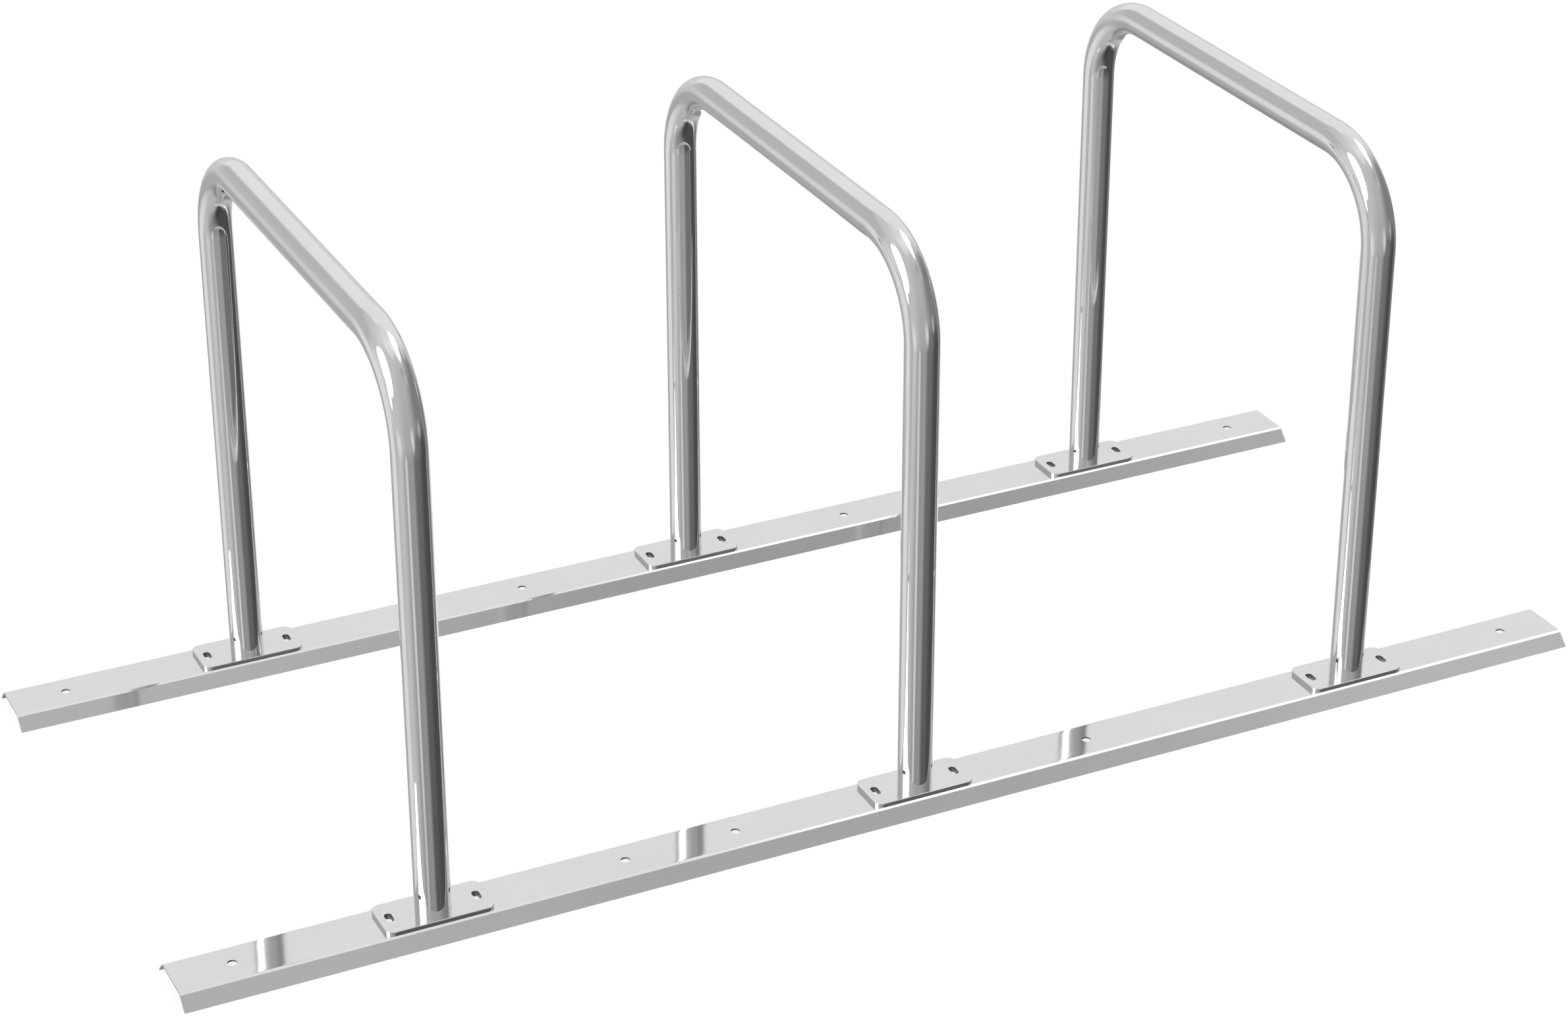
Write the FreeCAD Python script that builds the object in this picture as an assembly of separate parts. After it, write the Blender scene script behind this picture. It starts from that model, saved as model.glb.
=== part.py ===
"""Row bike rack: a row of tube hoops on two folded ground rails.

The rack stands on the ground at Z = 0, with +Z up. The rails run along X, the front rail lies at -Y and the
rear rail at +Y, and the origin is on the ground under the middle of the rack. All sizes are in millimetres.
"""
import FreeCAD
import Part
import math
import os

Vector = FreeCAD.Vector
UP = Vector(0, 0, 1)
ALONG = Vector(1, 0, 0)

# Hoops
hoop_names = ("left", "middle", "right")
hoop_pitch = 700.0             # from one hoop to the next
hoop_width = 800.0             # over the outer sides of the two legs
hoop_height = 800.0            # from the foot plates to the top of the tube
hoop_bend_inner_r = 100.0      # inside of the two top bends
tube_d = 48.3
tube_wall = 2.6

# Foot plates, with a slot at each end for a ground anchor
plate_length = 150.0
plate_width = 70.0
plate_thickness = 6.0
plate_corner_r = 12.0
plate_edge_round = 1.0
slot_width = 10.0
slot_length = 20.0
slot_end_margin = 10.0         # from a slot to the end of its plate

# Ground rails, folded from sheet
rail_overhang = 350.0          # past the centre of the outer hoops
rail_top_width = 72.0          # between the two folds, where the outer faces would meet
rail_height = 18.5
rail_wall = 2.5
rail_bend_inner_r = 2.5
flange_angle = 45.0            # of the flanges below the level
anchor_hole_d = 13.0
anchor_end_inset = 80.0        # from the end of a rail to its end hole
anchor_hoop_offset = 270.0     # from a hoop to the inner holes beside it

# Welds between tubes and plates, in a bevel round the foot of the tube
weld_bevel = 2.0               # height and depth of the bevel

# Bolts that hold the feet on the rails from below
bolt_d = 10.0
bolt_head_flats = 16.0
bolt_head_height = 6.4
bolt_end_chamfer = 1.2
thread_proud = 4.5             # of the bolt's end above its nut
bolt_hole_clearance = 1.0      # on the diameter, in the plate and the rail
washer_d = 20.0
washer_thickness = 2.0
washer_hole_clearance = 0.5    # on the diameter
nut_flats = 17.0
nut_height = 10.0
thread_clearance = 0.1         # on the diameter, between bolt and nut
hex_chamfer_angle = 30.0       # on the corners of bolt heads and nuts

# Worked out from the sizes above
tube_r = tube_d / 2
leg_y = hoop_width / 2 - tube_r
hoop_bend_r = hoop_bend_inner_r + tube_r
plate_bottom_z = rail_height
plate_top_z = plate_bottom_z + plate_thickness
hoop_top_z = plate_top_z + hoop_height - tube_r
web_bottom_z = rail_height - rail_wall
slot_offset = plate_length / 2 - slot_end_margin - slot_width / 2
hoop_xs = [hoop_pitch * (i - (len(hoop_names) - 1) / 2) for i in range(len(hoop_names))]
rail_half_length = hoop_xs[-1] + rail_overhang
bolt_hole_r = (bolt_d + bolt_hole_clearance) / 2
bolt_length = washer_thickness + rail_wall + plate_thickness + nut_height + thread_proud


def line(a, b):
    """Straight edge from a to b."""
    return Part.LineSegment(a, b).toShape()


def arc(a, through, b):
    """Circular edge from a to b by way of a third point."""
    return Part.Arc(a, through, b).toShape()


def rounded_rectangle(width, depth, corner_r, centre):
    """Level face with quarter-round corners; a corner radius of half the width makes a slot's outline."""
    edges = []
    ends = []
    for turn in (45, 135, 225, 315):
        side_x = math.copysign(1, math.cos(math.radians(turn)))
        side_y = math.copysign(1, math.sin(math.radians(turn)))
        middle = centre + Vector(side_x * (width / 2 - corner_r), side_y * (depth / 2 - corner_r), 0)
        points = []
        for angle in (turn - 45, turn, turn + 45):
            spoke = Vector(math.cos(math.radians(angle)), math.sin(math.radians(angle)), 0)
            points.append(middle + spoke * corner_r)
        edges.append(arc(*points))
        ends.append((points[0], points[2]))
    for (_, leave), (meet, _) in zip(ends, ends[1:] + ends[:1]):
        if leave.distanceToPoint(meet) > 1e-6:
            edges.append(line(leave, meet))
    return Part.Face(Part.Wire(Part.sortEdges(edges)[0]))


def slot_cutters(x, y, bottom_z, depth):
    """Prisms for the two slots at the ends of a foot, which run across the rail."""
    cutters = []
    for side in (-1, 1):
        centre = Vector(x + side * slot_offset, y, bottom_z)
        outline = rounded_rectangle(slot_width, slot_length, slot_width / 2, centre)
        cutters.append(outline.extrude(UP * depth))
    return cutters


def cylinder(x, y, radius, bottom_z, height):
    """Upright cylinder: a disc, a shank or what a drill takes out."""
    return Part.makeCylinder(radius, height, Vector(x, y, bottom_z), UP)


def hexagon(across_flats, height, base, chamfer_top):
    """Hexagonal prism standing on base, with the corners of its upper or lower end trimmed by a cone."""
    corner_r = across_flats / math.sqrt(3)
    corners = []
    for i in range(6):
        angle = math.radians(60 * i)
        corners.append(base + Vector(math.cos(angle), math.sin(angle), 0) * corner_r)
    prism = Part.Face(Part.makePolygon(corners + corners[:1])).extrude(UP * height)
    narrow_r = across_flats / 2
    wide_r = narrow_r + height / math.tan(math.radians(hex_chamfer_angle))
    bottom_r, top_r = (wide_r, narrow_r) if chamfer_top else (narrow_r, wide_r)
    return prism.common(Part.makeCone(bottom_r, top_r, height, base, UP))


def hoop_tube(x):
    """Round tube bent to a hoop: a leg, a bend, the top bar, a bend and a leg, with bevelled feet."""
    leg_length = hoop_top_z - hoop_bend_r - plate_top_z
    bar_length = 2 * (leg_y - hoop_bend_r)
    foot = Vector(x, -leg_y, plate_top_z)
    circles = [Part.Wire(Part.makeCircle(radius, foot, UP)) for radius in (tube_r, tube_r - tube_wall)]
    ring = Part.makeFace(circles, "Part::FaceMakerBullseye")
    front_leg = ring.extrude(UP * leg_length)
    bend_start = ring.translated(UP * leg_length)
    front_centre = Vector(x, -leg_y + hoop_bend_r, hoop_top_z - hoop_bend_r)
    front_bend = bend_start.revolve(front_centre, ALONG, -90)
    bar_start = bend_start.rotated(front_centre, ALONG, -90)
    bar = bar_start.extrude(Vector(0, bar_length, 0))
    bar_end = bar_start.translated(Vector(0, bar_length, 0))
    rear_centre = front_centre + Vector(0, bar_length, 0)
    rear_bend = bar_end.revolve(rear_centre, ALONG, -90)
    rear_start = bar_end.rotated(rear_centre, ALONG, -90)
    rear_leg = rear_start.extrude(UP * -leg_length)
    tube = front_leg.multiFuse([front_bend, bar, rear_bend, rear_leg])
    return tube.cut([foot_weld(x, -leg_y), foot_weld(x, leg_y)])


def foot_plate(x, y):
    """Flat plate under one leg, with rounded corners, a softened top edge, two slots and a bolt hole."""
    outline = rounded_rectangle(plate_length, plate_width, plate_corner_r, Vector(x, y, plate_bottom_z))
    plate = outline.extrude(UP * plate_thickness)
    top_edges = [e for e in plate.Edges if all(abs(v.Z - plate_top_z) < 1e-6 for v in e.Vertexes)]
    plate = plate.makeFillet(plate_edge_round, top_edges)
    cutters = slot_cutters(x, y, plate_bottom_z, plate_thickness)
    cutters.append(cylinder(x, y, bolt_hole_r, plate_bottom_z, plate_thickness))
    return plate.cut(cutters)


def foot_weld(x, y):
    """Weld that fills the bevel round the foot of a leg, ground flush: a triangle turned about the leg."""
    toe = Vector(x + tube_r, y, plate_top_z)
    root = toe - ALONG * weld_bevel
    crown = toe + UP * weld_bevel
    section = Part.Face(Part.makePolygon([root, toe, crown, root]))
    return section.revolve(Vector(x, y, 0), UP, 360)


def weld_nut(x, y):
    """Hexagon nut on top of a plate, inside the foot of the tube."""
    base = Vector(x, y, plate_top_z)
    nut = hexagon(nut_flats, nut_height, base, chamfer_top=True)
    return nut.cut(cylinder(x, y, (bolt_d + thread_clearance) / 2, plate_top_z, nut_height))


def washer(x, y):
    """Flat washer under the web of a rail."""
    bottom_z = web_bottom_z - washer_thickness
    disc = cylinder(x, y, washer_d / 2, bottom_z, washer_thickness)
    return disc.cut(cylinder(x, y, (bolt_d + washer_hole_clearance) / 2, bottom_z, washer_thickness))


def foot_bolt(x, y):
    """Hexagon bolt from below, through washer, rail and plate, into the weld nut."""
    seat_z = web_bottom_z - washer_thickness
    head_base = Vector(x, y, seat_z - bolt_head_height)
    head = hexagon(bolt_head_flats, bolt_head_height, head_base, chamfer_top=False)
    shank_length = bolt_length - bolt_end_chamfer
    shank = cylinder(x, y, bolt_d / 2, seat_z, shank_length)
    end_z = seat_z + shank_length
    end = Part.makeCone(bolt_d / 2, bolt_d / 2 - bolt_end_chamfer, bolt_end_chamfer, Vector(x, y, end_z), UP)
    return head.multiFuse([shank, end]).removeSplitter()


def rail_section(x, y):
    """Section of a rail across its length: a flat web with a flange folded out and down on each side.

    The feet of the flanges are cut level, so that the rail stands on two flat strips.
    """
    angle = math.radians(flange_angle)
    outer_r = rail_bend_inner_r + rail_wall
    centre_y = rail_top_width / 2 - outer_r * math.tan(angle / 2)
    centre_z = rail_height - outer_r

    def on_bend(side, radius, turn):
        """Point on a bend, at a turn away from straight up."""
        return Vector(x, y + side * (centre_y + radius * math.sin(turn)), centre_z + radius * math.cos(turn))

    def foot(side, radius):
        """Point where a face of a flange meets the ground."""
        tip = on_bend(side, radius, angle)
        return tip + Vector(0, side * tip.z / math.tan(angle), -tip.z)

    def half(side, radius):
        """Points of one face of the sheet, from the ground up to the web."""
        turns = (angle, angle / 2, 0)
        return [foot(side, radius)] + [on_bend(side, radius, turn) for turn in turns]

    inner_r = rail_bend_inner_r
    edges = []
    for side in (-1, 1):
        for radius in (outer_r, inner_r):
            ground, low, middle, high = half(side, radius)
            edges.append(line(ground, low))
            edges.append(arc(low, middle, high))
        edges.append(line(foot(side, outer_r), foot(side, inner_r)))
    edges.append(line(on_bend(-1, outer_r, 0), on_bend(1, outer_r, 0)))
    edges.append(line(on_bend(-1, inner_r, 0), on_bend(1, inner_r, 0)))
    return Part.Face(Part.Wire(Part.sortEdges(edges)[0]))


def anchor_xs():
    """Places of the round anchor holes: one near each end, and one on each inner side of the hoops.

    The hoop at the right end has none on its inner side.
    """
    places = [anchor_end_inset - rail_half_length, rail_half_length - anchor_end_inset]
    for x in hoop_xs[:-1]:
        places.append(x + anchor_hoop_offset)
    for x in hoop_xs[1:-1]:
        places.append(x - anchor_hoop_offset)
    return places


def rail(y, turned):
    """Ground rail at y; the rear rail is the front one turned half a turn about the rack's upright axis."""
    blank = rail_section(-rail_half_length, y).extrude(ALONG * (2 * rail_half_length))
    facing = -1 if turned else 1
    cutters = []
    for x in anchor_xs():
        cutters.append(cylinder(facing * x, y, anchor_hole_d / 2, web_bottom_z, rail_wall))
    for x in hoop_xs:
        cutters.extend(slot_cutters(x, y, web_bottom_z, rail_wall))
        cutters.append(cylinder(x, y, bolt_hole_r, web_bottom_z, rail_wall))
    return blank.cut(cutters)


def save(name, *pieces):
    """Write one node: a single solid, or a group of separate equal solids."""
    solids = [solid for piece in pieces for solid in piece.Solids]
    shape = solids[0] if len(solids) == 1 else Part.makeCompound(solids)
    shape.exportStep(os.path.join("parts", name + ".step"))
    print(name, len(solids), "solids,", round(sum(s.Volume for s in solids)), "mm3")


def main():
    """Build every piece and write it."""
    os.makedirs("parts", exist_ok=True)
    save("front_rail", rail(-leg_y, turned=False))
    save("rear_rail", rail(leg_y, turned=True))
    for name, x in zip(hoop_names, hoop_xs):
        save(name + "_hoop_tube", hoop_tube(x))
        for end, y in (("front", -leg_y), ("rear", leg_y)):
            save(name + "_hoop_" + end + "_plate", foot_plate(x, y))
            save(name + "_hoop_" + end + "_weld", foot_weld(x, y))
        legs = (-leg_y, leg_y)
        save(name + "_hoop_weld_nuts", *[weld_nut(x, y) for y in legs])
        save(name + "_hoop_washers", *[washer(x, y) for y in legs])
        save(name + "_hoop_bolts", *[foot_bolt(x, y) for y in legs])


main()
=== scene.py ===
"""Row bike rack, dressed: three mirror-polished tube hoops on two folded ground rails, in a pale studio.

The rack stands on the floor at Z = 0, with +Z up, the rails along X and the front rail at -Y. Sizes are in
metres, and turns in degrees where a name says so, otherwise in radians. Every shape is worked out with numpy
as a grid of points, and takes its place from the frame.
"""

import logging
import math
from dataclasses import dataclass
from enum import Enum

import bmesh
import bpy
import numpy as np
from mathutils import Matrix, Vector


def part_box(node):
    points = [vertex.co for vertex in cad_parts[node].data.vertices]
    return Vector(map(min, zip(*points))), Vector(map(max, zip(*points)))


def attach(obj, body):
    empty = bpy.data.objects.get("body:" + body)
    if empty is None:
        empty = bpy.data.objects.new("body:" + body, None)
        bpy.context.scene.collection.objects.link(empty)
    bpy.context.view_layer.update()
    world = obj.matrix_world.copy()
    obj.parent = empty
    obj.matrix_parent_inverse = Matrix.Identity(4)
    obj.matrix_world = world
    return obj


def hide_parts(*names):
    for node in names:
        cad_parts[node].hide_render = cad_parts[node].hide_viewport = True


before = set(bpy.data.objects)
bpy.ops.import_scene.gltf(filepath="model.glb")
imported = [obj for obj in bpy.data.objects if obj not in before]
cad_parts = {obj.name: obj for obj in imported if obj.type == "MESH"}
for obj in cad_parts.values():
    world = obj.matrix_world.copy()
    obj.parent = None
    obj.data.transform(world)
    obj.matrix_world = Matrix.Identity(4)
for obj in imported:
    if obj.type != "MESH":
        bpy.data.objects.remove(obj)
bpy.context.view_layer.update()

log = logging.getLogger("bike_rack")
Array = np.ndarray
Socket = bpy.types.NodeSocket
BODY = "root"
WELD_GAP = 1e-6                    # points nearer than this become one
SPOT_SHIFT = math.sqrt(0.1)        # keeps round sizes off the borders between the spots that points fall on
SHARP_ANGLE = math.radians(20)     # edges that turn further than this stay crisp
AREA_WEIGHT = 100                  # how strongly large faces set the shading of the small ones beside them
UNBENT = "unbent"                  # attribute: where a point of a bent tube lies on the straight tube
CUT_EDGE = "cut_edge"              # attribute: 1 on the walls of holes, which are left unpolished and darkened as painted shade in the holes, 0 elsewhere
CLOUD_SPAN = (0.3, 0.7)            # values of the noise from the dullest to the clearest clouds
WHITE = (1.0, 1.0, 1.0, 1.0)


class Place(Enum):
    """The three hoops, from the left end of the row."""

    LEFT = "left"
    MIDDLE = "middle"
    RIGHT = "right"


class Side(Enum):
    """The two rails, and the two feet of a hoop that stand on them."""

    FRONT = "front"
    REAR = "rear"


class Slot(Enum):
    """The part's own names for its finishes."""

    HOOP = "hoop_steel"
    RAIL = "rail_steel"
    PLATE = "plate_steel"
    WELD = "weld_steel"
    FASTENER = "fastener_steel"


class Outline(Enum):
    """Outline of a soft-edged area of the studio."""

    ROUND = "round"
    SQUARE = "square"


# Surfaces

@dataclass
class Surface:
    """Points in space and the four-sided faces between them."""

    points: Array               # one to a row
    faces: Array                # four point numbers for each face
    cut: Array | None = None    # 1 for each face in the wall of a hole, 0 for the others

    def __post_init__(self) -> None:
        """Take every face for a polished one where nothing else is said."""
        if self.cut is None:
            self.cut = np.zeros(len(self.faces))

    @classmethod
    def grid(cls, points: Array, wrap_rows: bool = False, wrap_columns: bool = False) -> "Surface":
        """Faces between neighbours of a grid of points.

        Args:
            points: rows x columns x 3.
            wrap_rows: whether the last row meets the first.
            wrap_columns: whether the last column meets the first.

        Returns:
            The surface, with its faces in row order.
        """
        rows, columns = points.shape[:2]
        index = np.arange(rows * columns).reshape(rows, columns)
        if wrap_rows:
            index = np.vstack([index, index[:1]])
        if wrap_columns:
            index = np.hstack([index, index[:, :1]])
        corners = (index[:-1, :-1], index[1:, :-1], index[1:, 1:], index[:-1, 1:])
        return cls(points.reshape(-1, 3), np.stack([corner.ravel() for corner in corners], axis=1))

    @classmethod
    def disc(cls, ring: Array) -> "Surface":
        """Fill of a closed ring of an even number of points: each face has the centre and three of them.

        Args:
            ring: points x 3.

        Returns:
            The filled disc.
        """
        count = len(ring)
        first = np.arange(0, count, 2)
        faces = np.stack([np.full_like(first, count), first, first + 1, (first + 2) % count], axis=1)
        return cls(np.vstack([ring, ring.mean(axis=0)]), faces)

    @classmethod
    def joined(cls, surfaces: "list[Surface]") -> "Surface":
        """One surface from several: points that fall on the same spot become one.

        Args:
            surfaces: the surfaces to join.

        Returns:
            The joined surface.
        """
        starts = np.cumsum([0] + [len(surface.points) for surface in surfaces])
        points = np.vstack([surface.points for surface in surfaces])
        faces = np.vstack([surface.faces + start for surface, start in zip(surfaces, starts)])
        spots = np.floor(points / WELD_GAP + SPOT_SHIFT).astype(np.int64)
        _, first, spot_of = np.unique(spots, axis=0, return_index=True, return_inverse=True)
        cut = np.concatenate([surface.cut for surface in surfaces])
        return cls(points[first], spot_of.reshape(-1)[faces], cut)


@dataclass(frozen=True)
class Hole:
    """A round hole, or a slot along Y, through a flat piece."""

    x: float                 # place of its middle along the row
    y: float                 # place of its middle across the row
    radius: float            # of the hole, or of the slot's round ends
    half_run: float = 0.0    # from the slot's middle to the centre of a round end; 0 in a round hole

    def edge(self, outline: Array) -> Array:
        """The hole's edge, in the directions of an outline's points from the hole's middle.

        A ray at angle a meets the straight side at r / |cos a| while it stays within the half run h, and
        otherwise the round end, at h |sin a| + sqrt(r r - h h cos a cos a), with r the radius.

        Args:
            outline: points x 2.

        Returns:
            Points x 2.
        """
        middle = np.array([self.x, self.y])
        away = outline - middle
        turn = np.arctan2(away[:, 1], away[:, 0])
        across, along = np.cos(turn), np.sin(turn)
        to_side = self.radius / np.maximum(np.abs(across), WELD_GAP)
        round_part = np.sqrt(np.maximum(self.radius**2 - (self.half_run * across) ** 2, 0.0))
        to_end = self.half_run * np.abs(along) + round_part
        reach = np.where(to_side * np.abs(along) <= self.half_run, to_side, to_end)
        return middle + np.column_stack([reach * across, reach * along])


@dataclass(frozen=True)
class NodeBox:
    """Box round one of the frame's nodes."""

    middle: Array    # of the box
    half: Array      # half its size
    low_z: float     # its lowest point
    top_z: float     # its highest point

    @classmethod
    def of(cls, node: str) -> "NodeBox":
        """The box of a node: its middle is (low + high) / 2 and half its size (high - low) / 2."""
        low, high = (np.array(corner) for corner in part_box(node))
        return cls((low + high) / 2, (high - low) / 2, low[2], high[2])


def straight(start: float | Array, end: float | Array, steps: int) -> Array:
    """Evenly spaced values or points from start up to, and without, end: start + (end - start) i / steps."""
    return np.linspace(start, end, steps, endpoint=False)


def all_round(steps: int) -> Array:
    """Angles of evenly spaced steps round a circle: 2 pi i / steps."""
    return np.arange(steps) * 2 * math.pi / steps


def snapped(values: Array) -> Array:
    """Values moved to the nearest whole number of weld gaps."""
    return np.round(values / WELD_GAP) * WELD_GAP


def level(outline: Array, z: float) -> Array:
    """A flat outline lifted to a height: (x, y) becomes (x, y, z)."""
    return np.column_stack([outline, np.full(len(outline), z)])


def turned(radii: list[Array | float], heights: list[Array | float], turn: Array) -> Array:
    """Rings about the upright axis: (r cos a, r sin a, z), where r and z may change with the angle a.

    Args:
        radii: for each ring, one radius or one for each angle.
        heights: for each ring, one height or one for each angle.
        turn: the angles.

    Returns:
        Rings x angles x 3.
    """
    radius = np.stack([np.broadcast_to(value, turn.shape) for value in radii])
    height = np.stack([np.broadcast_to(value, turn.shape) for value in heights])
    return np.stack([radius * np.cos(turn), radius * np.sin(turn), height], axis=-1)


def holed_slab(top: Array, bottom: Array, hole: Hole, top_z: float, bottom_z: float, rings: int) -> Surface:
    """Upper face, hole and lower face of a flat area with one hole in it.

    The faces are rings that blend from the outer outline to the hole's edge: (1 - w) outline + w edge, with w
    from 0 to 1.

    Args:
        top: outline of the upper face, points x 2.
        bottom: outline of the lower face, with as many points.
        hole: the hole.
        top_z: height of the upper face.
        bottom_z: height of the lower face.
        rings: number of rings on a face.

    Returns:
        The surface, open at the outlines.
    """
    edge = hole.edge(top)
    share = np.linspace(0.0, 1.0, rings + 1)
    upper = [level((1 - w) * top + w * edge, top_z) for w in share]
    lower = [level((1 - w) * bottom + w * edge, bottom_z) for w in share[::-1]]
    slab = Surface.grid(np.stack(upper + lower), wrap_columns=True)
    slab.cut = np.repeat(np.arange(2 * rings + 1) == rings, len(top)).astype(float)
    return slab


# Nodes and finishes

@dataclass
class NodeBoard:
    """Adds nodes to a node tree and joins them up."""

    tree: bpy.types.NodeTree    # the tree that the nodes go into

    @classmethod
    def fresh(cls, owner: bpy.types.Material | bpy.types.World) -> "NodeBoard":
        """An empty board on a material or a world.

        Args:
            owner: what the nodes are for.

        Returns:
            The board.
        """
        owner.use_nodes = True
        owner.node_tree.nodes.clear()
        return cls(owner.node_tree)

    def add(self, kind: str, inputs: dict | None = None, **settings: object) -> bpy.types.Node:
        """A new node.

        Args:
            kind: the node's type.
            inputs: for each input, by name or number, its value or the output that feeds it.
            settings: the node's own properties.

        Returns:
            The node.
        """
        node = self.tree.nodes.new(kind)
        for name, value in settings.items():
            setattr(node, name, value)
        for key, value in (inputs or {}).items():
            if isinstance(value, Socket):
                self.tree.links.new(value, node.inputs[key])
            else:
                node.inputs[key].default_value = value
        return node

    def math(self, operation: str, *values: object) -> Socket:
        """Result of a math node on one or two values or outputs."""
        return self.add("ShaderNodeMath", dict(enumerate(values)), operation=operation).outputs[0]

    def vector(self, operation: str, *values: object) -> bpy.types.Node:
        """A vector math node on up to three vectors or outputs."""
        return self.add("ShaderNodeVectorMath", dict(enumerate(values)), operation=operation)

    def ramp(self, value: Socket, low: float, high: float, start: float, end: float,
             blend: str = "LINEAR") -> Socket:
        """Values from low to high carried over to start to end, and held there outside.

        Args:
            value: what is carried over.
            low: value that gives start.
            high: value that gives end.
            start: first result.
            end: last result.
            blend: how the results run between them.

        Returns:
            The output.
        """
        places = {"Value": value, "From Min": low, "From Max": high, "To Min": start, "To Max": end}
        return self.add("ShaderNodeMapRange", places, interpolation_type=blend).outputs["Result"]

    def mix(self, share: Socket, first: object, second: object) -> Socket:
        """The first value or output where the share is 0, the second where it is 1."""
        return self.add("ShaderNodeMix", {0: share, 2: first, 3: second}, data_type="FLOAT").outputs[0]

    def either(self, share: Socket, first: Socket, second: Socket) -> Socket:
        """The first shader where the share is 0, the second where it is 1."""
        return self.add("ShaderNodeMixShader", {0: share, 1: first, 2: second}).outputs[0]

    def grey(self, shade: Socket) -> Socket:
        """The colour whose red, green and blue are all this shade."""
        parts = {"Red": shade, "Green": shade, "Blue": shade}
        return self.add("ShaderNodeCombineColor", parts).outputs["Color"]

    def noise(self, place: Socket, scale: float, detail: float) -> Socket:
        """Cloudy noise between 0 and 1, with this many clouds to a metre and this much fine detail."""
        return self.add("ShaderNodeTexNoise", {"Vector": place, "Scale": scale, "Detail": detail}).outputs[0]


@dataclass(frozen=True)
class SteelFinish:
    """Bare steel, polished or plain: fine polishing lines, faint clouds and a little unevenness, with the
    walls of holes rougher and darkened as painted shade in the holes.
    """

    slot: Slot                             # the part's own name for the finish
    tint: float                            # how much light the steel throws back
    cloud: float                           # how much less it throws back in the dullest clouds, as a share
    roughness: float                       # of the clear places
    haze: float                            # how much rougher the hazy places are
    lines: tuple[float, float, float]      # polishing lines to a metre along X, Y and Z
    line_depth: float                      # height of the lines
    follows_tube: bool = False             # whether the lines follow a bent tube, instead of X, Y and Z
    cut_tint_with_painted_shade: float = 0.36                 # how much light the unpolished walls of holes throw back, darkened further as painted shade inside the holes
    cut_roughness: float = 0.40            # of those walls
    line_detail: float = 3.0               # finer lines within the lines
    cloud_scale: float = 9.0               # clouds to a metre
    cloud_detail: float = 4.0              # finer clouds within the clouds
    haze_span: tuple[float, float] = (0.1, 0.45)    # lines times clouds, from the clear to the hazy places

    def material(self) -> bpy.types.Material:
        """The finish as a material, made at its first use.

        Returns:
            The material.
        """
        name = self.slot.value + "_finish"
        made = bpy.data.materials.get(name)
        if made:
            return made
        made = bpy.data.materials.new(name)
        board = NodeBoard.fresh(made)
        if self.follows_tube:
            place = board.add("ShaderNodeAttribute", attribute_name=UNBENT).outputs["Vector"]
        else:
            place = board.add("ShaderNodeTexCoord").outputs["Object"]
        stretched = board.add("ShaderNodeMapping", {"Vector": place, "Scale": self.lines}).outputs["Vector"]
        lines = board.noise(stretched, scale=1.0, detail=self.line_detail)
        clouds = board.noise(place, self.cloud_scale, self.cloud_detail)
        haze = board.math("MULTIPLY", lines, clouds)
        cut = board.add("ShaderNodeAttribute", attribute_name=CUT_EDGE).outputs["Fac"]
        polished = board.ramp(clouds, *CLOUD_SPAN, self.tint * (1 - self.cloud), self.tint)
        smooth = board.ramp(haze, *self.haze_span, self.roughness, self.roughness + self.haze)
        bump = board.add("ShaderNodeBump", {"Height": lines, "Strength": 1.0, "Distance": self.line_depth})
        steel = board.add("ShaderNodeBsdfPrincipled", {
            # the walls of holes take a darker colour: painted shade inside the holes, on top of their real
            # unpolished finish
            "Base Color": board.grey(board.mix(cut, polished, self.cut_tint_with_painted_shade)),
            "Metallic": 1.0,
            "Roughness": board.mix(cut, smooth, self.cut_roughness),
            "Normal": bump.outputs["Normal"],
        })
        board.add("ShaderNodeOutputMaterial", {"Surface": steel.outputs["BSDF"]})
        return made


HOOP_FINISH = SteelFinish(Slot.HOOP, 0.83, 0.03, 0.030, 0.030, (3.0, 900.0, 900.0), 2e-7, follows_tube=True)
RAIL_FINISH = SteelFinish(Slot.RAIL, 0.80, 0.03, 0.035, 0.035, (4.0, 900.0, 900.0), 2e-7)
PLATE_FINISH = SteelFinish(Slot.PLATE, 0.80, 0.03, 0.035, 0.035, (12.0, 900.0, 900.0), 2e-7)
WELD_FINISH = SteelFinish(Slot.WELD, 0.82, 0.04, 0.035, 0.050, (300.0, 300.0, 900.0), 3e-7)
FASTENER_FINISH = SteelFinish(Slot.FASTENER, 0.66, 0.15, 0.220, 0.180, (500.0, 500.0, 900.0), 4e-6)


def new_object(name: str, data: bpy.types.ID) -> bpy.types.Object:
    """A new object in the scene.

    Args:
        name: the object's name.
        data: its mesh, lamp or camera.

    Returns:
        The object, at the origin.
    """
    made = bpy.data.objects.new(name, data)
    bpy.context.scene.collection.objects.link(made)
    return made


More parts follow.
